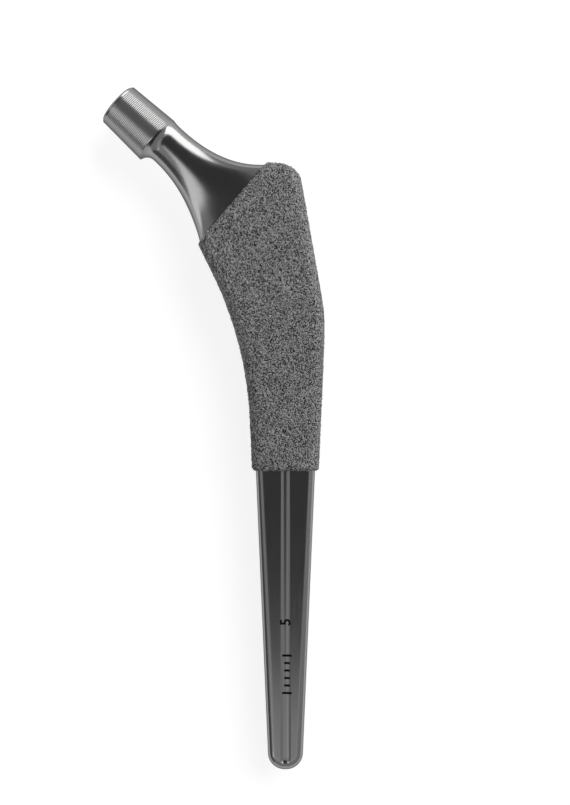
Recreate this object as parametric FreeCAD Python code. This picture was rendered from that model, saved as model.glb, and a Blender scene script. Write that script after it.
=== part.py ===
# Cementless hip stem: a forged titanium stem with a taper for the ball head, and a sprayed porous coat
# round its upper body. It lies on the flat back of the coat, as it comes to rest on a table.
#
# It is drawn upright first: X to the lateral side, Y up the stem from its tip, Z out of the front face,
# with the stem's own mid-plane at Z = 0. The last step lays it down in its frame.
import FreeCAD, Part

import math
import os

from FreeCAD import Vector

# Stem blade, seen from the front
TIP_RADIUS = 4.68  # full round at the lower end
FLANK_ANGLE = 2.43  # each side of the lower blade leans out by this
CREST_LEVEL = 120.8  # where the lateral side's two straight flanks would meet
CREST_RADIUS = 50.0
LATERAL_ANGLE = 10.0  # the upper lateral flank leans back in by this
SHOULDER_LEVEL = 160.55  # top of the bare shoulder, above the stem's tip on its axis
SHOULDER_SLOPE = 4.0  # it falls to the lateral side by this
SHOULDER_RADIUS = 5.2
MEDIAL_LEVEL = 114.6  # where the medial flank and the calcar line would meet
MEDIAL_RADIUS = 99.0
CALCAR_ANGLE = 26.4  # the upper medial side leans out by this

# Stem blade, seen from the side
TIP_HALF_THICKNESS = 3.6
FACE_ANGLE = 1.25  # the front and back faces each lean out by this
EDGE_RADIUS = 2.05  # along all four long edges
NOSE_RADIUS = 3.3  # the same rounding where it passes under the tip

DRILL_POINT_ANGLE = 118.0  # of every drill

# Long shallow groove down the middle of both faces, left by a ball cutter
GROOVE_RADIUS = 2.4
GROOVE_TOP_DEPTH = 0.30  # at the coat's lower edge
GROOVE_TIP_DEPTH = 0.42
GROOVE_END_LEVEL = 3.15  # centre of its rounded lower end
GROOVE_COVERED = 3.0  # how far it runs on under the coat
DRILL_MARK_RADIUS = 0.55  # small mark of a drill's point in the groove's lower end
DRILL_MARK_DEPTH = 0.75  # of its point, below the face

# Neck: its section is an oval of eight arcs, which grows from the waist to the root
NECK_SHAFT_ANGLE = 132.5
CROSSING_LEVEL = 137.05  # where the neck axis meets the stem axis
NECK_LENGTH = 46.68  # from that crossing to the foot of the taper
RESECTION_DISTANCE = 19.65  # from the crossing to the plane where the neck meets the body and the coat ends
RESECTION_ANGLE = 49.5  # of that plane, from the horizontal
WAIST_DISTANCE = 2.9  # of the waist below the foot of the taper; above it the neck flares out to the foot
WAIST_HALF_WIDTH = 5.6
WAIST_HALF_THICKNESS = 5.05
WAIST_OFFSET = 1.0  # the waist lies this much to the lateral side of the taper's axis
WAIST_CORNER_RADIUS = 4.6
WAIST_CROWN_ANGLE = 20.0  # half the angle over which each side and face is crowned
ROOT_CORNER_RADIUS = 2.6
ROOT_CROWN_ANGLE = 1.0
ROOT_STEP = 0.4  # the neck's root stands out past the body's section, so that the coat butts against it
NECK_GROWTH = 2.15  # exponent of the growth from waist to root
NECK_BOW = 0.24  # below its middle it bows this much to the medial side
NECK_SECTIONS = 9
FLARE_SECTIONS = 6
FLARE_START = 20.0  # the flare is an arc from this angle to 90, so that it meets the foot at a slope

# Taper for the ball head, of the 12/14 size
TAPER_FOOT_DIAMETER = 13.8
TAPER_LENGTH = 14.3
TAPER_CONE_ANGLE = 5.725  # 5 degrees 43 minutes 30 seconds, both sides together
TAPER_END_CHAMFER = 0.45

# Threaded hole in the shoulder, for the inserter and extractor
INSERTER_HOLE_RADIUS = 2.5  # tapping size of an M6 thread
INSERTER_HOLE_DEPTH = 14.0  # below the shoulder's level on the stem axis
INSERTER_HOLE_X = -0.5
COAT_WINDOW_RADIUS = 3.3  # the coat is masked back this far round the hole

# Porous coat
COAT_THICKNESS = 1.0
COAT_BOTTOM_LEVEL = 80.0
COAT_BOTTOM_ROUNDING = 0.95  # of its lower outer edge

REACH = 60.0  # half the size of the blocks that trim, well past the stem on every side
PAST_RESECTION = 3.0  # how far past the resection plane the body is drawn, before it is cut there
NEAR = 0.01  # two places closer than this are the same


def degrees(value):
    return math.radians(value)


def half_thickness(level):
    """Half the bare blade's thickness at a level above the tip."""
    return TIP_HALF_THICKNESS + level * math.tan(degrees(FACE_ANGLE))


def leaning(angle):
    """Unit vector up the stem, leaning by an angle to the lateral side."""
    return Vector(math.sin(degrees(angle)), math.cos(degrees(angle)), 0)


def crossing_of_lines(p, p_direction, q, q_direction):
    """Where two lines in the XY plane meet."""
    across = p_direction.x * q_direction.y - p_direction.y * q_direction.x
    gap = q - p
    along = (gap.x * q_direction.y - gap.y * q_direction.x) / across
    return p + p_direction * along


def rounded_corner(before, corner, after, radius):
    """Start, middle and end of the arc that rounds a corner between two straight lines."""
    back = (before - corner).normalize()
    on = (after - corner).normalize()
    half = back.getAngle(on) / 2
    tangent_length = radius / math.tan(half)
    centre = corner + (back + on).normalize() * (radius / math.sin(half))
    nearest = centre + (corner - centre).normalize() * radius
    return corner + back * tangent_length, nearest, corner + on * tangent_length


def neck_axis():
    """Unit vector from the crossing towards the ball head."""
    return leaning(NECK_SHAFT_ANGLE - 180.0)


def on_neck_axis(distance):
    """The point of the neck axis at a distance below the foot of the taper."""
    return Vector(0, CROSSING_LEVEL, 0) + neck_axis() * (NECK_LENGTH - distance)


def resection_point():
    """Where the neck axis passes through the resection plane."""
    return on_neck_axis(NECK_LENGTH - RESECTION_DISTANCE)


def resection_direction():
    """Runs along the resection plane from the medial to the lateral side."""
    return leaning(90.0 - RESECTION_ANGLE)


def flank_lines(offset):
    """The straight lines of the body's front outline, grown outwards by an offset, as points and
    directions: the lower lateral flank, the upper one, the shoulder, the calcar and the lower medial
    flank. The upper ones are placed on the bare metal first, then moved out."""
    flank = leaning(FLANK_ANGLE)
    outwards = Vector(flank.y, -flank.x, 0)
    centre = Vector(0, TIP_RADIUS, 0)
    bare_lateral = centre + outwards * TIP_RADIUS
    bare_medial = Vector(-bare_lateral.x, bare_lateral.y, 0)
    medial_flank = Vector(-flank.x, flank.y, 0)
    level = Vector(1, 0, 0)

    crest = crossing_of_lines(bare_lateral, flank, Vector(0, CREST_LEVEL, 0), level)
    upper = leaning(-LATERAL_ANGLE)
    shoulder = leaning(90.0 + SHOULDER_SLOPE)
    hollow = crossing_of_lines(bare_medial, medial_flank, Vector(0, MEDIAL_LEVEL, 0), level)
    calcar = leaning(-CALCAR_ANGLE)
    return [
        (centre + outwards * (TIP_RADIUS + offset), flank),
        (crest + Vector(upper.y, -upper.x, 0) * offset, upper),
        (Vector(0, SHOULDER_LEVEL, 0) + Vector(-shoulder.y, shoulder.x, 0) * offset, shoulder),
        (hollow + Vector(-calcar.y, calcar.x, 0) * offset, calcar),
        (centre + Vector(-outwards.x, outwards.y, 0) * (TIP_RADIUS + offset), medial_flank),
    ]


def rim_ends(offset, past=0.0):
    """Where the resection plane, or one a little past it, leaves the body's front outline: the medial
    and the lateral end."""
    lines = flank_lines(offset)
    along = resection_direction()
    cut = (resection_point() + Vector(-along.y, along.x, 0) * past, along)
    return crossing_of_lines(*cut, *lines[3]), crossing_of_lines(*cut, *lines[2])


def front_outline(offset):
    """The body's outline from the front, to a little past the resection plane, grown by an offset."""
    lateral, upper, shoulder, calcar, medial = flank_lines(offset)
    end_medial, end_lateral = rim_ends(offset, PAST_RESECTION)
    crest_corner = crossing_of_lines(*lateral, *upper)
    shoulder_corner = crossing_of_lines(*upper, *shoulder)
    hollow_corner = crossing_of_lines(*calcar, *medial)
    crest_arc = rounded_corner(lateral[0], crest_corner, shoulder_corner, CREST_RADIUS + offset)
    shoulder_arc = rounded_corner(crest_corner, shoulder_corner, end_lateral, SHOULDER_RADIUS + offset)
    hollow_arc = rounded_corner(end_medial, hollow_corner, medial[0], MEDIAL_RADIUS - offset)

    tip_centre = Vector(0, TIP_RADIUS, 0)
    tip_radius = TIP_RADIUS + offset
    tip_bottom = tip_centre - Vector(0, tip_radius, 0)
    lateral_tip = tip_centre - leaning(-45.0) * tip_radius
    medial_tip = tip_centre - leaning(45.0) * tip_radius
    edges = [
        Part.Arc(tip_bottom, lateral_tip, lateral[0]),
        Part.LineSegment(lateral[0], crest_arc[0]),
        Part.Arc(*crest_arc),
        Part.LineSegment(crest_arc[2], shoulder_arc[0]),
        Part.Arc(*shoulder_arc),
        Part.LineSegment(shoulder_arc[2], end_lateral),
        Part.LineSegment(end_lateral, end_medial),
        Part.LineSegment(end_medial, hollow_arc[0]),
        Part.Arc(*hollow_arc),
        Part.LineSegment(hollow_arc[2], medial[0]),
        Part.Arc(medial[0], medial_tip, tip_bottom),
    ]
    return Part.Wire([edge.toShape() for edge in edges])


def neck_side():
    """A block that fills the neck's side of the resection plane."""
    along = resection_direction()
    up = Vector(-along.y, along.x, 0)
    start = resection_point() - along * REACH - Vector(0, 0, REACH)
    corners = [start, start + along * 2 * REACH, start + (along * 2 + up) * REACH, start + up * REACH]
    return Part.Face(Part.makePolygon(corners + corners[:1])).extrude(Vector(0, 0, 2 * REACH))


def is_long_edge(edge, depth):
    """True for an edge round the front face, but not for the one past the resection plane."""
    middle = edge.valueAt((edge.FirstParameter + edge.LastParameter) / 2)
    lean = degrees(FACE_ANGLE)
    along = resection_direction()
    on_face = abs(middle.z * math.cos(lean) - middle.y * math.sin(lean) - depth) < NEAR
    past = (middle - resection_point()).dot(Vector(-along.y, along.x, 0))
    return on_face and past < PAST_RESECTION - 2 * NEAR


def blade(offset):
    """The body up to the resection plane. Each half is the front outline extruded square to its own
    face, so that the rounded edges are plain cylinders and tori, and the halves meet on the mid-plane."""
    depth = TIP_HALF_THICKNESS * math.cos(degrees(FACE_ANGLE)) + offset
    block = Part.Face(front_outline(offset)).extrude(Vector(0, 0, REACH + depth))
    block.translate(Vector(0, 0, -REACH))
    block.rotate(Vector(0, 0, 0), Vector(1, 0, 0), FACE_ANGLE)

    document = FreeCAD.newDocument("blade")
    sharp = document.addObject("Part::Feature", "sharp")
    sharp.Shape = block
    rounded = document.addObject("Part::Fillet", "rounded")
    rounded.Base = sharp
    radii = []
    for number, edge in enumerate(sharp.Shape.Edges, start=1):
        if not is_long_edge(edge, depth):
            continue
        at_tip = [abs(edge.valueAt(at).x) < NEAR for at in (edge.FirstParameter, edge.LastParameter)]
        start, end = [(NOSE_RADIUS if tip else EDGE_RADIUS) + offset for tip in at_tip]
        radii.append((number, start, end))
    rounded.Edges = radii
    document.recompute()
    block = rounded.Shape.copy()
    FreeCAD.closeDocument(document.Name)

    front_side = Part.makeBox(2 * REACH, SHOULDER_LEVEL + 2 * REACH, REACH, Vector(-REACH, -REACH, 0))
    front = block.common(front_side).cut(neck_side())
    return front.fuse(front.mirror(Vector(0, 0, 0), Vector(0, 0, 1)))


def oval(middle, across, half_width, half_thickness, corner_radius, crown_angle):
    """A closed outline of eight tangent arcs: four corners, two crowned sides and two crowned faces."""
    crown = degrees(crown_angle)
    s, c = math.sin(crown), 1 - math.cos(crown)
    wide, thick = half_width - corner_radius, half_thickness - corner_radius
    face_radius = corner_radius + (wide * s - thick * c) / (s * s - c * c)
    side_radius = corner_radius + (thick * s - wide * c) / (s * s - c * c)
    corner_x = (face_radius - corner_radius) * s
    corner_z = (side_radius - corner_radius) * s

    def arc(x, z, radius, start, end):
        bends = (start, (start + end) / 2, end)
        points = [(x + radius * math.cos(bend), z + radius * math.sin(bend)) for bend in bends]
        return Part.Arc(*[middle + across * px + Vector(0, 0, pz) for px, pz in points]).toShape()

    side_x, face_z = half_width - side_radius, half_thickness - face_radius
    crowns = [(side_x, 0), (0, face_z), (-side_x, 0), (0, -face_z)]
    corners = [(corner_x, corner_z), (-corner_x, corner_z), (-corner_x, -corner_z), (corner_x, -corner_z)]
    quarter = math.pi / 2
    edges = []
    for number in range(4):
        turn = number * quarter
        radius = side_radius if number % 2 == 0 else face_radius
        edges.append(arc(*crowns[number], radius, turn - crown, turn + crown))
        edges.append(arc(*corners[number], corner_radius, turn + crown, turn + quarter - crown))
    return Part.Wire(edges)


def neck_section(distance, towards, share, offset):
    """The neck's outline at a distance below the taper's foot: the waist, changed by a share of the
    way towards another section's half width, half thickness, corner radius and crown."""
    waist = (WAIST_HALF_WIDTH, WAIST_HALF_THICKNESS, WAIST_CORNER_RADIUS, WAIST_CROWN_ANGLE)
    values = [here + (there - here) * share for here, there in zip(waist, towards)]
    straight = NECK_SHAFT_ANGLE - 90.0
    turned = distance / (NECK_LENGTH - RESECTION_DISTANCE) * (90.0 - RESECTION_ANGLE - straight)
    across = leaning(straight + turned)
    return oval(on_neck_axis(distance) + across * offset, across, *values)


def neck():
    """The polished neck, from the foot of the taper to the resection plane."""
    foot_radius = TAPER_FOOT_DIAMETER / 2
    foot = (foot_radius, foot_radius, foot_radius, WAIST_CROWN_ANGLE)
    medial, lateral = rim_ends(0.0)
    middle = (medial + lateral) / 2
    root = (
        (lateral - medial).Length / 2 + ROOT_STEP,
        half_thickness(middle.y) + ROOT_STEP,
        ROOT_CORNER_RADIUS,
        ROOT_CROWN_ANGLE,
    )
    root_offset = (middle - resection_point()).dot(resection_direction())
    sections = []
    start = degrees(FLARE_START)
    for step in range(FLARE_SECTIONS):
        bend = start + (math.pi / 2 - start) * step / FLARE_SECTIONS
        distance = WAIST_DISTANCE * (1 - math.cos(bend) / math.cos(start))
        share = (1 - math.sin(bend)) / (1 - math.sin(start))
        sections.append(neck_section(distance, foot, share, WAIST_OFFSET * (1 - share)))
    for step in range(NECK_SECTIONS):
        share = step / (NECK_SECTIONS - 1)
        distance = WAIST_DISTANCE + (NECK_LENGTH - RESECTION_DISTANCE - WAIST_DISTANCE) * share
        bow = NECK_BOW * math.sin(math.pi * share**2)
        offset = WAIST_OFFSET + (root_offset - WAIST_OFFSET) * share - bow
        sections.append(neck_section(distance, root, share**NECK_GROWTH, offset))
    return Part.makeLoft(sections, True, False)


def taper():
    """The cone that the ball head is pressed on."""
    slope = math.tan(degrees(TAPER_CONE_ANGLE / 2))
    foot_radius = TAPER_FOOT_DIAMETER / 2
    end_radius = foot_radius - TAPER_LENGTH * slope
    chamfer_height = TAPER_LENGTH - TAPER_END_CHAMFER
    profile = [
        Vector(0, 0, 0),
        Vector(foot_radius, 0, 0),
        Vector(foot_radius - chamfer_height * slope, 0, chamfer_height),
        Vector(end_radius - TAPER_END_CHAMFER, 0, TAPER_LENGTH),
        Vector(0, 0, TAPER_LENGTH),
    ]
    face = Part.Face(Part.makePolygon(profile + profile[:1]))
    cone = face.revolve(Vector(0, 0, 0), Vector(0, 0, 1), 360)
    cone.Placement = FreeCAD.Placement(on_neck_axis(0), FreeCAD.Rotation(Vector(0, 0, 1), neck_axis()))
    return cone


def groove_cutter():
    """The ball cutter's path down the front face, with the drill mark at its lower end."""
    top_level = COAT_BOTTOM_LEVEL + GROOVE_COVERED
    top = Vector(0, top_level, half_thickness(top_level) - GROOVE_TOP_DEPTH + GROOVE_RADIUS)
    end_face = half_thickness(GROOVE_END_LEVEL)
    end = Vector(0, GROOVE_END_LEVEL, end_face - GROOVE_TIP_DEPTH + GROOVE_RADIUS)
    run = top - end
    swept = Part.makeCylinder(GROOVE_RADIUS, run.Length, end, run)
    swept = swept.fuse(Part.makeSphere(GROOVE_RADIUS, end))
    mark_point = Vector(0, GROOVE_END_LEVEL, end_face - DRILL_MARK_DEPTH)
    mark_height = DRILL_MARK_RADIUS / math.tan(degrees(DRILL_POINT_ANGLE / 2))
    return swept.fuse(Part.makeCone(0, DRILL_MARK_RADIUS, mark_height, mark_point))


def inserter_hole():
    """The blind hole in the shoulder, with the drill's point at its end."""
    mouth_level = SHOULDER_LEVEL + REACH
    floor_level = SHOULDER_LEVEL - INSERTER_HOLE_DEPTH
    point = INSERTER_HOLE_RADIUS / math.tan(degrees(DRILL_POINT_ANGLE / 2))
    profile = [
        Vector(0, floor_level - point, 0),
        Vector(INSERTER_HOLE_RADIUS, floor_level, 0),
        Vector(INSERTER_HOLE_RADIUS, mouth_level, 0),
        Vector(0, mouth_level, 0),
    ]
    face = Part.Face(Part.makePolygon(profile + profile[:1]))
    hole = face.revolve(Vector(0, 0, 0), Vector(0, 1, 0), 360)
    hole.translate(Vector(INSERTER_HOLE_X, 0, 0))
    return hole


def stem():
    """The forged stem: blade, neck and taper in one piece, with the grooves and the hole cut in it."""
    whole = blade(0.0).fuse(neck()).fuse(taper())
    front_groove = groove_cutter()
    back_groove = front_groove.mirror(Vector(0, 0, 0), Vector(0, 0, 1))
    return whole.cut(front_groove).cut(back_groove).cut(inserter_hole())


def coat(stem_shape):
    """The sprayed coat round the upper body, between its lower edge and the resection plane."""
    outer = blade(COAT_THICKNESS)
    below = Part.makeBox(2 * REACH, 2 * REACH, 2 * REACH)
    below.translate(Vector(-REACH, COAT_BOTTOM_LEVEL - 2 * REACH, -REACH))
    outer = outer.cut(below)
    bottom = min(outer.Faces, key=lambda face: face.CenterOfMass.y)
    outer = outer.makeFillet(COAT_BOTTOM_ROUNDING, bottom.Edges)
    window_bottom = Vector(INSERTER_HOLE_X, SHOULDER_LEVEL - SHOULDER_RADIUS, 0)
    window = Part.makeCylinder(COAT_WINDOW_RADIUS, REACH, window_bottom, Vector(0, 1, 0))
    return outer.cut(stem_shape).cut(window).cut(inserter_hole())


def laid_down():
    """Turns the upright stem so that the coat's flat back lies level at Z = 0, with the crossing of the
    neck's and the stem's axes above the origin."""
    lean = degrees(FACE_ANGLE)
    back = TIP_HALF_THICKNESS * math.cos(lean) + COAT_THICKNESS
    turn = FreeCAD.Rotation(Vector(1, 0, 0), FACE_ANGLE)
    return FreeCAD.Placement(Vector(0, -CROSSING_LEVEL * math.cos(lean), back), turn)


def main():
    os.makedirs("parts", exist_ok=True)
    stem_shape = stem()
    for name, shape in (("stem", stem_shape), ("porous_coat", coat(stem_shape))):
        print(name, "solids", len(shape.Solids), "valid", shape.isValid(), "volume", round(shape.Volume, 1))
        placed = shape.Solids[0].copy()
        placed.Placement = laid_down().multiply(placed.Placement)
        placed.exportStep("parts/" + name + ".step")


main()
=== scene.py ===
from math import atan2, cos, pi, radians, sin, tan

import bmesh
import bpy
from mathutils import Matrix, Vector, noise
from mathutils.bvhtree import BVHTree


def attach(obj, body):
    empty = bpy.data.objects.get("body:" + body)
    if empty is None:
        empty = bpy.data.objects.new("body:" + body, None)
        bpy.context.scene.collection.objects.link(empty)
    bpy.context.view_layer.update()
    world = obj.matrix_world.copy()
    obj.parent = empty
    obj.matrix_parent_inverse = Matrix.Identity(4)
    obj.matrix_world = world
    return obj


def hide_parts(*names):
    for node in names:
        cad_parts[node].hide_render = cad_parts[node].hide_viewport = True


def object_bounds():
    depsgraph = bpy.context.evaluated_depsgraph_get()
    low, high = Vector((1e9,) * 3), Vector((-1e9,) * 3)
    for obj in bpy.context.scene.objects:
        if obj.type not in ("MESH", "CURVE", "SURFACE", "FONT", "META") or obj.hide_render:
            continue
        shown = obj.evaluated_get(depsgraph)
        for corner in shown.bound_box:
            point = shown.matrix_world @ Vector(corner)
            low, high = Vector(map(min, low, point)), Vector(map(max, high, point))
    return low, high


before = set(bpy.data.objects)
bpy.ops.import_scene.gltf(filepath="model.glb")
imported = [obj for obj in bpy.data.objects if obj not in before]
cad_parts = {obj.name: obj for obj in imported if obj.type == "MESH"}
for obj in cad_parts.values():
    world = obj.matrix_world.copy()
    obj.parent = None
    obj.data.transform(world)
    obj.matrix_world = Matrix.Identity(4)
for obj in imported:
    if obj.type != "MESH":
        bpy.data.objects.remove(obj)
cad_low, cad_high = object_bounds()


# Blade: the flat shank of the stem that goes into the thigh bone, forged from titanium alloy, milled and
# brushed lengthwise to a satin. It is drawn upright in millimetres, X to the lateral side, Y up from the
# tip and Z out of the front face, and laid on its back. Its faces lean out on the way up.
face_angle = radians(1.25)
face_lean = tan(face_angle)
laid_down = Matrix.Translation((0, -0.137017, 0.004599)) @ Matrix.Rotation(face_angle, 4, "X")
laid_down = laid_down @ Matrix.Scale(0.001, 4)
tip_half_thickness = 3.6
tip_radius = 4.68
tip_tangent_level = 4.4816
edge_rounding = 2.05
nose_rounding = 3.3
face_inset = 0.12

# The outline's sides in order from the tip, each with its heading in degrees and its length.
lateral_heading, lateral_length = 87.57, 110.978
upper_heading, upper_length = 100.0, 30.668
shoulder_heading, shoulder_length = 176.0, 7.755
end_heading, end_length = 229.5, 22.712
throat_heading, throat_length = 296.4, 11.718
medial_heading, medial_length = 272.43, 89.202

# The bends between them, each with its radius and the angle it turns.
upper_radius, upper_turn = 50.0, 12.43
shoulder_radius, shoulder_turn = 5.2, 76.0
throat_radius, throat_turn = 99.0, -23.97


def straight(mesh, at, heading, length):
    """Draws a straight run of an outline, and gives its end."""
    end = bmesh.ops.extrude_vert_indiv(mesh, verts=[at])["verts"][0]
    end.co += Vector((cos(radians(heading)), sin(radians(heading)), 0)) * length
    return end


def bend(mesh, at, heading, radius, angle, steps):
    """Turns an outline to the left, or to the right if the angle is negative, and gives its end."""
    side = 1 if angle > 0 else -1
    centre = at.co + Vector((-sin(radians(heading)), cos(radians(heading)), 0)) * radius * side
    spun = bmesh.ops.spin(mesh, geom=[at], cent=centre, axis=(0, 0, 1), angle=radians(angle), steps=steps)
    return next(part for part in spun["geom_last"] if isinstance(part, bmesh.types.BMVert))


shank = bmesh.new()
corner = shank.verts.new((0, 0, 0))
corner = bend(shank, corner, 0, tip_radius, lateral_heading, 40)
corner = straight(shank, corner, lateral_heading, lateral_length)
corner = bend(shank, corner, lateral_heading, upper_radius, upper_turn, 16)
corner = straight(shank, corner, upper_heading, upper_length)
corner = bend(shank, corner, upper_heading, shoulder_radius, shoulder_turn, 20)
corner = straight(shank, corner, shoulder_heading, shoulder_length)
corner = straight(shank, corner, end_heading, end_length)
corner = straight(shank, corner, throat_heading, throat_length)
corner = bend(shank, corner, throat_heading, throat_radius, throat_turn, 40)
corner = straight(shank, corner, medial_heading, medial_length)
bend(shank, corner, medial_heading, tip_radius, lateral_heading, 40)
bmesh.ops.remove_doubles(shank, verts=shank.verts, dist=0.01)
bmesh.ops.contextual_create(shank, geom=shank.edges[:])
bmesh.ops.translate(shank, verts=shank.verts, vec=(0, 0, -1))
grown = bmesh.ops.extrude_face_region(shank, geom=shank.faces[:])["geom"]
raised = [part for part in grown if isinstance(part, bmesh.types.BMVert)]
bmesh.ops.translate(shank, verts=raised, vec=(0, 0, 2))
for vert in shank.verts:
    vert.co.z *= tip_half_thickness + vert.co.y * face_lean
bmesh.ops.recalc_face_normals(shank, faces=shank.faces)


def on_end(edge):
    """True for an edge of the outline's end past the neck's root, which is cut off."""
    return all(vert.co.x < -9.0 and vert.co.y > 143.0 for vert in edge.verts)


rims = [edge for edge in shank.edges if edge.verts[0].co.z * edge.verts[1].co.z > 0 and not on_end(edge)]
bmesh.ops.bevel(shank, geom=rims, offset=edge_rounding, offset_type="OFFSET", segments=9, profile=0.5,
                affect="EDGES", material=-1)
for vert in shank.verts:
    if vert.co.y < tip_tangent_level:
        out = Vector((vert.co.x, vert.co.y - tip_radius, 0)).normalized()
        rim = Vector((0, tip_radius, 0)) + out * tip_radius
        rim.z = (tip_half_thickness + rim.y * face_lean) * (1 if vert.co.z > 0 else -1)
        share = atan2(abs(out.x), -out.y) / radians(lateral_heading)
        vert.co = rim + (vert.co - rim) * (nose_rounding / edge_rounding * (1 - share) + share)
faces = [face for face in shank.faces if abs(face.normal.z) > 0.99 and len(face.verts) > 60]
bmesh.ops.inset_region(shank, faces=faces, thickness=face_inset, use_even_offset=True)
root_point = Vector((-14.4875, 150.3253, 0))
up_neck = Vector((-0.760406, 0.649448, 0))
cut = bmesh.ops.bisect_plane(shank, geom=shank.verts[:] + shank.edges[:] + shank.faces[:], dist=0.0001,
                             plane_co=root_point, plane_no=up_neck, clear_outer=True)
open_rim = [part for part in cut["geom_cut"] if isinstance(part, bmesh.types.BMEdge)]
bmesh.ops.contextual_create(shank, geom=open_rim)
bmesh.ops.recalc_face_normals(shank, faces=shank.faces)


def piece_of(name, mesh, sharp=25.0):
    """Lays a shape down, makes it a piece with round edges shaded smooth, and lets it ride."""
    bmesh.ops.transform(mesh, matrix=laid_down, verts=mesh.verts)
    data = bpy.data.meshes.new(name)
    mesh.to_mesh(data)
    mesh.free()
    piece = bpy.data.objects.new(name, data)
    bpy.context.scene.collection.objects.link(piece)
    data.shade_smooth()
    data.set_sharp_from_angle(angle=radians(sharp))
    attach(piece, "root")
    return piece


blade = piece_of("stem_blade", shank)
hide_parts("stem")


def finish_of(name, colour, roughness):
    """A metal, with its nodes."""
    material = bpy.data.materials.new(name)
    material.use_nodes = True
    nodes = material.node_tree.nodes
    metal = nodes["Principled BSDF"]
    metal.inputs["Base Color"].default_value = (*colour, 1)
    metal.inputs["Metallic"].default_value = 1.0
    metal.inputs["Roughness"].default_value = roughness
    metal.inputs["Specular Tint"].default_value = (0.3, 0.3, 0.3, 1)
    return material, nodes, material.node_tree.links, metal


def noise_of(nodes, links, scale, stretch=(1, 1, 1), detail=3.0):
    """A noise pattern in the piece's own place, stretched along its axes."""
    place = nodes.new("ShaderNodeTexCoord")
    mapping = nodes.new("ShaderNodeMapping")
    mapping.inputs["Scale"].default_value = stretch
    pattern = nodes.new("ShaderNodeTexNoise")
    pattern.inputs["Scale"].default_value = scale
    pattern.inputs["Detail"].default_value = detail
    links.new(place.outputs["Object"], mapping.inputs["Vector"])
    links.new(mapping.outputs["Vector"], pattern.inputs["Vector"])
    return pattern


def ranged(nodes, links, source, low, high, to_low, to_high):
    """Spreads a pattern's values over a range."""
    spread = nodes.new("ShaderNodeMapRange")
    spread.inputs["From Min"].default_value = low
    spread.inputs["From Max"].default_value = high
    spread.inputs["To Min"].default_value = to_low
    spread.inputs["To Max"].default_value = to_high
    links.new(source, spread.inputs["Value"])
    return spread.outputs["Result"]


satin, nodes, links, metal = finish_of("satin_brushed_titanium", (0.3, 0.3, 0.298), 0.22)
brushing = noise_of(nodes, links, 2600, stretch=(1, 0.03, 1), detail=3.0)
links.new(ranged(nodes, links, brushing.outputs["Fac"], 0.3, 0.7, 0.17, 0.2), metal.inputs["Roughness"])
brushed = nodes.new("ShaderNodeBump")
brushed.inputs["Strength"].default_value = 0.015
brushed.inputs["Distance"].default_value = 0.00002
links.new(brushing.outputs["Fac"], brushed.inputs["Height"])
links.new(brushed.outputs["Normal"], metal.inputs["Normal"])
blade.data.materials.append(satin)


# Grooves of the blade: a ball cutter milled one down the middle of each face, and the point of a small
# drill marks its lower end. They run in under the porous coat, and get a little shallower on the way up.
groove_radius = 2.4
end_level, end_depth = 3.15, 0.42
top_level, top_depth = 83.0, 0.30
groove_end = Vector((0, end_level, tip_half_thickness + end_level * face_lean - end_depth + groove_radius))
groove_top = Vector((0, top_level, tip_half_thickness + top_level * face_lean - top_depth + groove_radius))
mark_radius = 0.55
mark_height = 0.33
mark_depth = 0.75
mark_bottom = tip_half_thickness + end_level * face_lean - mark_depth


def cut_away(piece, tool):
    """Takes a closed shape, drawn upright, out of a piece."""
    bmesh.ops.recalc_face_normals(tool, faces=tool.faces)
    bmesh.ops.transform(tool, matrix=laid_down, verts=tool.verts)
    data = bpy.data.meshes.new("cutter")
    tool.to_mesh(data)
    tool.free()
    cutter = bpy.data.objects.new("cutter", data)
    bpy.context.scene.collection.objects.link(cutter)
    cutting = piece.modifiers.new("cut", "BOOLEAN")
    cutting.operation = "DIFFERENCE"
    cutting.solver = "EXACT"
    cutting.object = cutter
    shaped = bpy.data.meshes.new_from_object(piece.evaluated_get(bpy.context.evaluated_depsgraph_get()))
    piece.modifiers.clear()
    piece.data = shaped
    shaped.name = piece.name
    bpy.data.objects.remove(cutter)
    shaped.shade_smooth()
    shaped.set_sharp_from_angle(angle=radians(22))


for side in (1, -1):
    path = bmesh.new()
    bmesh.ops.create_uvsphere(path, u_segments=96, v_segments=48, radius=groove_radius)
    bmesh.ops.rotate(path, verts=path.verts, matrix=Matrix.Rotation(radians(-90), 3, "X"))
    far_half = [vert for vert in path.verts if vert.co.y > 0.001]
    bmesh.ops.translate(path, verts=far_half, vec=groove_top - groove_end)
    bmesh.ops.translate(path, verts=path.verts, vec=groove_end)
    bmesh.ops.scale(path, verts=path.verts, vec=(1, 1, side))
    cut_away(blade, path)
    mark = bmesh.new()
    bmesh.ops.create_cone(mark, cap_ends=True, segments=24, radius1=0, radius2=mark_radius, depth=mark_height)
    bmesh.ops.translate(mark, verts=mark.verts, vec=(0, end_level, mark_bottom + mark_height / 2))
    bmesh.ops.scale(mark, verts=mark.verts, vec=(1, 1, side))
    cut_away(blade, mark)


seam = bmesh.new()
seam.from_mesh(blade.data)
up_blade = laid_down.to_3x3() @ Vector((0, 1, 0))
for level in (2.3, 4.3, 6.0, 9.0):
    bmesh.ops.bisect_plane(seam, geom=seam.verts[:] + seam.edges[:] + seam.faces[:], dist=0.0000001,
                           plane_co=laid_down @ Vector((0, level, 0)), plane_no=up_blade)
bmesh.ops.dissolve_degenerate(seam, dist=0.000001, edges=seam.edges)
seam.to_mesh(blade.data)
seam.free()


# Inserter hole: a blind hole drilled into the shoulder and tapped M6, where the surgeon's inserter
# screws in. Its wall is cut out of the blade, and the thread's turns are one screwed strip joined to it.
hole_x = -0.5
hole_floor = 146.55
hole_mouth = 170.0
thread_radius = 2.95
core_radius = 2.5
thread_pitch = 1.0
thread_turns = 11
turn_steps = 40
thread_overlap = 0.02

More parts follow.
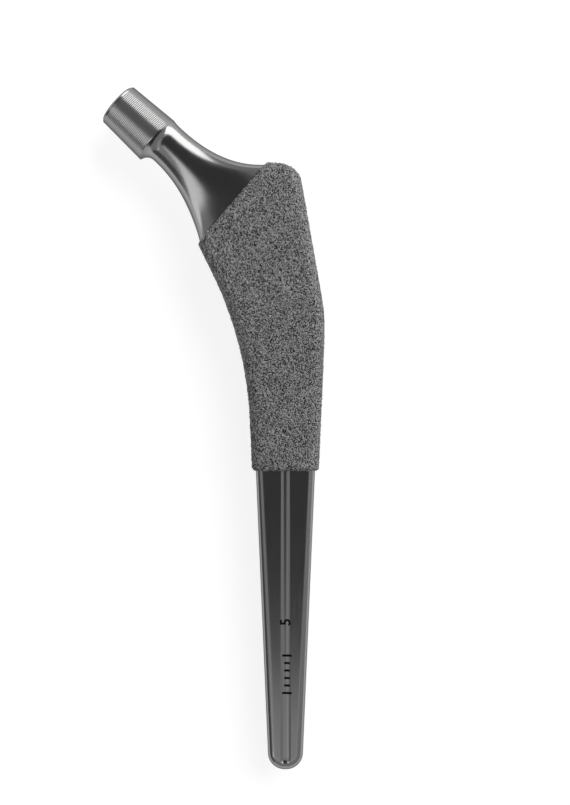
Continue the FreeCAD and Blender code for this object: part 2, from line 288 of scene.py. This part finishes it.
drill = bmesh.new()
tip = drill.verts.new((hole_x, hole_floor - 1.5, 0))
heel = drill.verts.new((hole_x + core_radius, hole_floor, 0))
wall = drill.verts.new((hole_x + core_radius, hole_floor + 0.6, 0))
tapped = drill.verts.new((hole_x + thread_radius, hole_floor + 0.9, 0))
mouth = drill.verts.new((hole_x + thread_radius, hole_mouth, 0))
middle = drill.verts.new((hole_x, hole_mouth, 0))
for start, end in ((tip, heel), (heel, wall), (wall, tapped), (tapped, mouth), (mouth, middle)):
    drill.edges.new((start, end))
bmesh.ops.spin(drill, geom=drill.verts[:] + drill.edges[:], cent=(hole_x, 0, 0), axis=(0, 1, 0),
               angle=2 * pi, steps=64, use_merge=True)
bmesh.ops.remove_doubles(drill, verts=drill.verts, dist=0.001)
cut_away(blade, drill)

thread = bmesh.new()
root = thread.verts.new((hole_x + thread_radius + thread_overlap, hole_floor + 0.93, 0))
flank = thread.verts.new((hole_x + core_radius, hole_floor + 1.3, 0))
crest = thread.verts.new((hole_x + core_radius, hole_floor + 1.42, 0))
top = thread.verts.new((hole_x + thread_radius + thread_overlap, hole_floor + 1.87, 0))
for start, end in ((root, flank), (flank, crest), (crest, top), (top, root)):
    thread.edges.new((start, end))
bmesh.ops.spin(thread, geom=thread.verts[:] + thread.edges[:], cent=(hole_x, 0, 0),
               dvec=(0, thread_pitch / turn_steps, 0), axis=(0, 1, 0), angle=2 * pi * thread_turns,
               steps=turn_steps * thread_turns)
bmesh.ops.holes_fill(thread, edges=thread.edges, sides=0)
bmesh.ops.recalc_face_normals(thread, faces=thread.faces)
threaded = piece_of("inserter_thread", thread, 50.0)
tapped_finish, nodes, links, metal = finish_of("tapped_titanium", (0.29, 0.29, 0.288), 0.22)
wear = noise_of(nodes, links, 700, detail=2.0)
links.new(ranged(nodes, links, wear.outputs["Fac"], 0.3, 0.7, 0.18, 0.27), metal.inputs["Roughness"])
threaded.data.materials.append(tapped_finish)


# Neck: the bar between the blade and the ball head, forged with the blade as one piece and polished like
# a mirror. A round bar is drawn out ring by ring, and each ring is pressed to an oval: round at the foot
# of the taper, drawn in at the waist, and grown wide and flat with tight corners at the root.
neck_axis = Vector((-0.737277, 0.675590, 0))
neck_foot = Vector((-34.41611, 168.58655, 0))
neck_length = 27.03
waist_distance = 2.9
foot_oval = (6.9, 6.9, 6.9, 20.0)
waist_oval = (5.6, 5.05, 4.6, 20.0)
root_oval = (13.5056, 7.2941, 2.6, 1.0)
waist_offset = 1.0
root_offset = 0.8401
waist_bow = 0.24
flare_start = radians(20.0)
growth_power = 2.15
foot_lean = 42.5
lean_change = 2.0
side_share, corner_share, face_share = 0.2, 0.55, 0.25


def pressed(turn, half_width, half_thickness, corner_radius, crown):
    """Where a point of the round bar, at a share of its turn, goes when the bar is pressed to an oval."""
    quadrant = int(turn * 4) % 4
    along = turn * 4 - int(turn * 4)
    if quadrant % 2:
        along = 1 - along
    crown = radians(crown)
    s, c = sin(crown), 1 - cos(crown)
    wide, thick = half_width - corner_radius, half_thickness - corner_radius
    face_radius = corner_radius + (wide * s - thick * c) / (s * s - c * c)
    side_radius = corner_radius + (thick * s - wide * c) / (s * s - c * c)
    if along < side_share:
        centre, radius = (half_width - side_radius, 0), side_radius
        angle = along / side_share * crown
    elif along > 1 - face_share:
        centre, radius = (0, half_thickness - face_radius), face_radius
        angle = pi / 2 - (1 - along) / face_share * crown
    else:
        centre = ((face_radius - corner_radius) * s, (side_radius - corner_radius) * s)
        radius, angle = corner_radius, crown + (along - side_share) / corner_share * (pi / 2 - 2 * crown)
    across, up = centre[0] + radius * cos(angle), centre[1] + radius * sin(angle)
    return across * (-1 if quadrant in (1, 2) else 1), up * (-1 if quadrant in (2, 3) else 1)


bar = bmesh.new()
bar_sides = 160
flare_rings = 26
neck_rings = 84
bmesh.ops.create_circle(bar, cap_ends=False, segments=bar_sides, radius=1.0)
edges = bar.edges[:]
for number in range(flare_rings + neck_rings):
    grown = bmesh.ops.extrude_edge_only(bar, edges=edges)["geom"]
    edges = [part for part in grown if isinstance(part, bmesh.types.BMEdge)]
    raised = [part for part in grown if isinstance(part, bmesh.types.BMVert)]
    bmesh.ops.translate(bar, verts=raised, vec=(0, 0, 1))
for vert in bar.verts:
    number = round(vert.co.z)
    turn = (atan2(vert.co.y, vert.co.x) / (2 * pi)) % 1.0
    if number <= flare_rings:
        bow = flare_start + (pi / 2 - flare_start) * number / flare_rings
        distance = waist_distance * (1 - cos(bow) / cos(flare_start))
        share = (1 - sin(bow)) / (1 - sin(flare_start))
        oval = [here + (there - here) * share for here, there in zip(waist_oval, foot_oval)]
        offset = waist_offset * (1 - share)
    else:
        share = (number - flare_rings) / (neck_rings - 2)
        distance = waist_distance + (neck_length - waist_distance) * share
        grown_share = min(share, 1.0) ** growth_power
        oval = [here + (there - here) * grown_share for here, there in zip(waist_oval, root_oval)]
        offset = waist_offset + (root_offset - waist_offset) * share
        offset = offset - waist_bow * sin(pi * min(share, 1.0) ** 2)
    lean = radians(foot_lean - lean_change * distance / neck_length)
    across = Vector((sin(lean), cos(lean), 0))
    wide, up = pressed(turn, *oval)
    vert.co = neck_foot - neck_axis * distance + across * (offset + wide) + Vector((0, 0, up))
bmesh.ops.holes_fill(bar, edges=bar.edges, sides=0)
bmesh.ops.recalc_face_normals(bar, faces=bar.faces)
neck = piece_of("stem_neck", bar)
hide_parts("stem")
mirror_polish, nodes, links, metal = finish_of("mirror_polished_titanium", (0.3, 0.3, 0.298), 0.2)
haze = noise_of(nodes, links, 900, detail=2.0)
links.new(ranged(nodes, links, haze.outputs["Fac"], 0.3, 0.7, 0.17, 0.2), metal.inputs["Roughness"])
neck.data.materials.append(mirror_polish)


# Taper: the 12/14 cone that the ball head is pressed on. It is turned on a lathe, and the tool leaves
# a fine groove round it on each turn, which holds the head fast.
taper_length = 14.3
taper_angle = 5.725
taper_slope = tan(radians(taper_angle / 2))
taper_foot = foot_oval[0]
foot_land = 0.12
end_land = 0.3
first_groove = 0.2
groove_pitch = 0.46
groove_depth = 0.055
end_chamfer = 0.45

cone = bmesh.new()
profile = [cone.verts.new((0, 0, 0)), cone.verts.new((taper_foot, 0, 0))]
profile.append(cone.verts.new((taper_foot, 0, foot_land)))
for number in range(int((taper_length - end_chamfer - end_land) / groove_pitch)):
    level = first_groove + number * groove_pitch
    for at, depth in ((0.0, 0.0), (0.5, groove_depth)):
        height = level + at * groove_pitch
        profile.append(cone.verts.new((taper_foot - height * taper_slope - depth, 0, height)))
chamfer_level = taper_length - end_chamfer
profile.append(cone.verts.new((taper_foot - chamfer_level * taper_slope, 0, chamfer_level)))
profile.append(cone.verts.new((taper_foot - taper_length * taper_slope - end_chamfer, 0, taper_length)))
profile.append(cone.verts.new((0, 0, taper_length)))
for start, end in zip(profile, profile[1:]):
    cone.edges.new((start, end))
bmesh.ops.spin(cone, geom=cone.verts[:] + cone.edges[:], cent=(0, 0, 0), axis=(0, 0, 1), angle=2 * pi,
               steps=128, use_merge=True)
bmesh.ops.remove_doubles(cone, verts=cone.verts, dist=0.0005)
bmesh.ops.recalc_face_normals(cone, faces=cone.faces)
aim = Vector((0, 0, 1)).rotation_difference(neck_axis).to_matrix().to_4x4()
bmesh.ops.transform(cone, matrix=Matrix.Translation(neck_foot) @ aim, verts=cone.verts)
taper = piece_of("stem_taper", cone, 10.0)
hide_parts("stem")
as_turned, nodes, links, metal = finish_of("turned_titanium", (0.29, 0.29, 0.288), 0.22)
wear = noise_of(nodes, links, 700, detail=2.0)
links.new(ranged(nodes, links, wear.outputs["Fac"], 0.3, 0.7, 0.23, 0.255), metal.inputs["Roughness"])
taper.data.materials.append(as_turned)


# Laser marks: a plain size numeral and plain depth bars, burnt black into the groove of the front face.
# Each is a thin plate that follows the groove's hollow.
strip_width = 0.15
numeral_size = 3.8
numeral_level = 40.1
bar_count = 6
bar_gap = 2.0
first_bar_level = 31.2
long_half, short_half, half_height = 1.25, 0.75, 0.29

burnt, nodes, links, metal = finish_of("laser_burnt_oxide", (0.004, 0.004, 0.004), 0.5)
metal.inputs["Metallic"].default_value = 0.0
metal.inputs["Specular IOR Level"].default_value = 0.1
speckle = noise_of(nodes, links, 9000, detail=1.0)
links.new(ranged(nodes, links, speckle.outputs["Fac"], 0.3, 0.7, 0.4, 0.65), metal.inputs["Roughness"])


def burn(name, mesh):
    """Wraps a flat mark, drawn upright over the front face, on the blade."""
    for step in range(-12, 13):
        bmesh.ops.bisect_plane(mesh, geom=mesh.verts[:] + mesh.edges[:] + mesh.faces[:], dist=0.0001,
                               plane_co=(step * strip_width, 0, 0), plane_no=(1, 0, 0))
    bmesh.ops.translate(mesh, verts=mesh.verts, vec=(0, 0, 12.0))
    piece = piece_of(name, mesh)
    wrap = piece.modifiers.new("wrap", "SHRINKWRAP")
    wrap.target = blade
    wrap.wrap_method = "PROJECT"
    wrap.use_project_z = True
    wrap.use_negative_direction = True
    wrap.use_positive_direction = False
    wrap.offset = 0.00003
    burnt_in = piece.modifiers.new("burnt_in", "SOLIDIFY")
    burnt_in.thickness = 0.0001
    burnt_in.offset = -1
    data = bpy.data.meshes.new_from_object(piece.evaluated_get(bpy.context.evaluated_depsgraph_get()))
    piece.modifiers.clear()
    piece.data = data
    data.shade_smooth()
    data.materials.append(burnt)


letter = bpy.data.curves.new("size", "FONT")
letter.body = "5"
letter.size = numeral_size
letter.align_x = "CENTER"
letter.align_y = "CENTER"
letter.offset = 0.09
drawn = bpy.data.objects.new("size", letter)
bpy.context.scene.collection.objects.link(drawn)
numeral = bmesh.new()
numeral.from_mesh(drawn.to_mesh())
drawn.to_mesh_clear()
bpy.data.objects.remove(drawn)
bmesh.ops.rotate(numeral, verts=numeral.verts, matrix=Matrix.Rotation(radians(90), 3, "Z"))
bmesh.ops.translate(numeral, verts=numeral.verts, vec=(0.1, numeral_level, 0))
burn("size_numeral", numeral)
bars = bmesh.new()
for number in range(bar_count):
    half = long_half if number % (bar_count - 1) == 0 else short_half
    grown = bmesh.ops.create_grid(bars, x_segments=1, y_segments=1, size=1.0)["verts"]
    bmesh.ops.scale(bars, verts=grown, vec=(half, half_height, 1))
    bmesh.ops.translate(bars, verts=grown, vec=(0.4, first_bar_level - number * bar_gap, 0))
burn("depth_bars", bars)


# Porous coat: titanium powder melted in a plasma jet and sprayed a millimetre thick round the upper
# blade, so that bone grows into it. Its grains leave a web of rounded ridges round small open pits.
roughness_depth = 0.00022
sunk = 0.00008
net_step = 0.00027
lump_size = 0.00043
grit_size = 0.0003
broad_size = 0.0024
bond_gap = 0.0002
bond_fade = 0.0004
kept_share = 0.56

body = bmesh.new()
body.from_mesh(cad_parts["porous_coat"].data)
bmesh.ops.remove_doubles(body, verts=body.verts, dist=0.000002)
skin = bpy.data.meshes.new("porous_coat_skin")
body.to_mesh(skin)
body.free()
coat = bpy.data.objects.new("sprayed_coat", skin)
bpy.context.scene.collection.objects.link(coat)
even = coat.modifiers.new("even", "REMESH")
even.mode = "VOXEL"
even.voxel_size = net_step
skin = bpy.data.meshes.new_from_object(coat.evaluated_get(bpy.context.evaluated_depsgraph_get()))
coat.modifiers.clear()
coat.data = skin
sprayed = bmesh.new()
sprayed.from_mesh(skin)
# Each point keeps its height in a layer that the colour below uses to paint shade into the pits.
pit_shade_layer = sprayed.verts.layers.float.new("pit_shade")
under = BVHTree.FromObject(blade, bpy.context.evaluated_depsgraph_get())
moves = []
bonded = []
for vert in sprayed.verts:
    cover = under.find_nearest(vert.co)[3]
    if cover < bond_gap:
        bonded.append(vert.index)
    drawn_out = Vector((vert.co.x, vert.co.y * 0.75, vert.co.z))
    lump = noise.noise(drawn_out / lump_size)
    grit = noise.noise(drawn_out / grit_size + Vector((7, 3, 5)))
    broad = noise.noise(vert.co / broad_size)
    height = 1.3 * lump + 0.8 * grit + 0.3 * broad
    vert[pit_shade_layer] = 0.5 + height * 0.55
    free = min(max((cover - bond_gap) / bond_fade, 0.0), 1.0)
    moves.append(vert.normal * (height * roughness_depth - sunk) * free)
for vert, move in zip(sprayed.verts, moves):
    vert.co += move
    vert.co = [min(max(at, low), high) for at, low, high in zip(vert.co, cad_low, cad_high)]
sprayed.to_mesh(skin)
sprayed.free()
inner = coat.vertex_groups.new(name="bonded side")
inner.add(bonded, 1.0, "REPLACE")
thinned = coat.modifiers.new("thinned", "DECIMATE")
thinned.ratio = kept_share
thinned.vertex_group = inner.name
skin = bpy.data.meshes.new_from_object(coat.evaluated_get(bpy.context.evaluated_depsgraph_get()))
coat.modifiers.clear()
coat.vertex_groups.clear()
coat.data = skin
skin.name = "sprayed_coat"
skin.shade_smooth()
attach(coat, "root")
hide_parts("porous_coat")

# The coat's colour is painted shade: near black in the pits of the relief and in the low spots of the grain
# noise that also makes its bump, and grey on the ridges.
porous, nodes, links, metal = finish_of("sprayed_porous_titanium", (0.2, 0.2, 0.2), 0.6)
metal.inputs["Metallic"].default_value = 0.2
pit_shade = nodes.new("ShaderNodeAttribute")
pit_shade.attribute_name = "pit_shade"
web = noise_of(nodes, links, 4000, stretch=(1.1, 0.72, 1.1), detail=1.0)
both = nodes.new("ShaderNodeMath")
both.operation = "ADD"
links.new(ranged(nodes, links, pit_shade.outputs["Fac"], 0.05, 0.95, 0.0, 0.3), both.inputs[0])
links.new(ranged(nodes, links, web.outputs["Fac"], 0.34, 0.66, 0.0, 0.7), both.inputs[1])
shade = nodes.new("ShaderNodeMix")
shade.data_type = "RGBA"
shade.inputs["A"].default_value = (0.02, 0.02, 0.02, 1)
shade.inputs["B"].default_value = (0.34, 0.34, 0.34, 1)
links.new(ranged(nodes, links, both.outputs[0], 0.365, 0.655, 0.0, 1.0), shade.inputs["Factor"])
links.new(shade.outputs["Result"], metal.inputs["Base Color"])
gritty = nodes.new("ShaderNodeBump")
gritty.inputs["Strength"].default_value = 1.0
gritty.inputs["Distance"].default_value = 0.00012
links.new(web.outputs["Fac"], gritty.inputs["Height"])
links.new(gritty.outputs["Normal"], metal.inputs["Normal"])
coat.data.materials.append(porous)


# Floor, light and camera: a plain white floor in a plain grey room, four softboxes, and pieces of dark
# felt for the polished metal to mirror. One felt hangs over the stem, and a low one stands to its left.
floor_glow = 0.79
room_glow = 0.42

ground = bmesh.new()
bmesh.ops.create_grid(ground, x_segments=1, y_segments=1, size=20.0)
floor_mesh = bpy.data.meshes.new("floor")
ground.to_mesh(floor_mesh)
ground.free()
floor = bpy.data.objects.new("floor", floor_mesh)
bpy.context.scene.collection.objects.link(floor)
paper = bpy.data.materials.new("white_paper")
paper.use_nodes = True
nodes, links = paper.node_tree.nodes, paper.node_tree.links
sheen = nodes["Principled BSDF"]
sheen.inputs["Base Color"].default_value = (0.35, 0.35, 0.35, 1)
sheen.inputs["Roughness"].default_value = 0.9
sheen.inputs["Specular IOR Level"].default_value = 0.0
seen = nodes.new("ShaderNodeLightPath")
either = nodes.new("ShaderNodeMath")
either.operation = "MAXIMUM"
links.new(seen.outputs["Is Camera Ray"], either.inputs[0])
links.new(seen.outputs["Is Glossy Ray"], either.inputs[1])
any_of = nodes.new("ShaderNodeMath")
any_of.operation = "MAXIMUM"
links.new(either.outputs[0], any_of.inputs[0])
links.new(seen.outputs["Is Transmission Ray"], any_of.inputs[1])
glow = nodes.new("ShaderNodeMath")
glow.operation = "MULTIPLY"
glow.inputs[1].default_value = floor_glow
links.new(any_of.outputs[0], glow.inputs[0])
sheen.inputs["Emission Color"].default_value = (1, 1, 1, 1)
links.new(glow.outputs[0], sheen.inputs["Emission Strength"])
floor_mesh.materials.append(paper)


def softbox(name, place, look_at, along, width, height, power):
    """An area light that looks at a point, with its width along a direction."""
    light = bpy.data.lights.new(name, "AREA")
    light.shape = "RECTANGLE"
    light.size = width
    light.size_y = height
    light.energy = power
    box = bpy.data.objects.new(name, light)
    back = (Vector(place) - Vector(look_at)).normalized()
    right = (Vector(along) - Vector(along).dot(back) * back).normalized()
    turn = Matrix((right, back.cross(right), back)).transposed()
    box.matrix_world = Matrix.Translation(place) @ turn.to_4x4()
    bpy.context.scene.collection.objects.link(box)


softbox("right_softbox", (0.474, 0.396, 0.37), (0, 0.03, 0), (-0.59, 0.81, 0), 0.98, 0.68, 6.1)
softbox("left_softbox", (-0.52, 0.04, 0.36), (-0.03, 0.03, 0), (0, 1, 0), 0.22, 0.82, 0.7)
softbox("low_left_softbox", (-0.82, -0.78, 1.1), (-0.03, 0.03, 0), (-0.7, 0.7, 0), 0.3, 0.5, 0.5)
softbox("low_softbox", (0.0, -0.55, 0.85), (0, -0.1, 0), (1, 0, 0), 0.9, 0.45, 0.28)

card = bmesh.new()
bmesh.ops.create_circle(card, cap_ends=True, segments=48, radius=1.0)
bmesh.ops.scale(card, verts=card.verts, vec=(0.6, 0.42, 1))
bmesh.ops.rotate(card, verts=card.verts, matrix=Matrix.Rotation(radians(115), 3, "Z"))
bmesh.ops.translate(card, verts=card.verts, vec=(-0.03, 0.225, 0.85))
card_mesh = bpy.data.meshes.new("dark_card")
card.to_mesh(card_mesh)
card.free()
dark_card = bpy.data.objects.new("dark_card", card_mesh)
bpy.context.scene.collection.objects.link(dark_card)
dark_felt, nodes, links, metal = finish_of("dark_felt", (0.17, 0.17, 0.17), 0.95)
metal.inputs["Metallic"].default_value = 0.0
metal.inputs["Specular IOR Level"].default_value = 0.0
card_mesh.materials.append(dark_felt)

flag = bmesh.new()
bmesh.ops.create_grid(flag, x_segments=1, y_segments=1, size=0.5)
bmesh.ops.scale(flag, verts=flag.verts, vec=(0.14, 0.37, 1))
bmesh.ops.rotate(flag, verts=flag.verts, matrix=Matrix.Rotation(radians(90), 3, "Y"))
bmesh.ops.translate(flag, verts=flag.verts, vec=(-0.19, -0.215, 0.07))
flag_mesh = bpy.data.meshes.new("side_flag")
flag.to_mesh(flag_mesh)
flag.free()
side_flag = bpy.data.objects.new("side_flag", flag_mesh)
bpy.context.scene.collection.objects.link(side_flag)
flag_mesh.materials.append(dark_felt)

world = bpy.data.worlds.new("room")
bpy.context.scene.world = world
world.use_nodes = True
backdrop = world.node_tree.nodes["Background"]
backdrop.inputs["Color"].default_value = (1, 1, 1, 1)
backdrop.inputs["Strength"].default_value = room_glow

camera_data = bpy.data.cameras.new("camera")
camera_data.lens = 64.84
camera_data.sensor_width = 36
camera_data.clip_start = 0.01
camera = bpy.data.objects.new("camera", camera_data)
camera.location = (-0.00012, -0.047325, 0.395549)
camera.rotation_euler = (radians(1.25), 0, 0)
bpy.context.scene.collection.objects.link(camera)
bpy.context.scene.camera = camera
bpy.context.scene.view_settings.view_transform = "Standard"
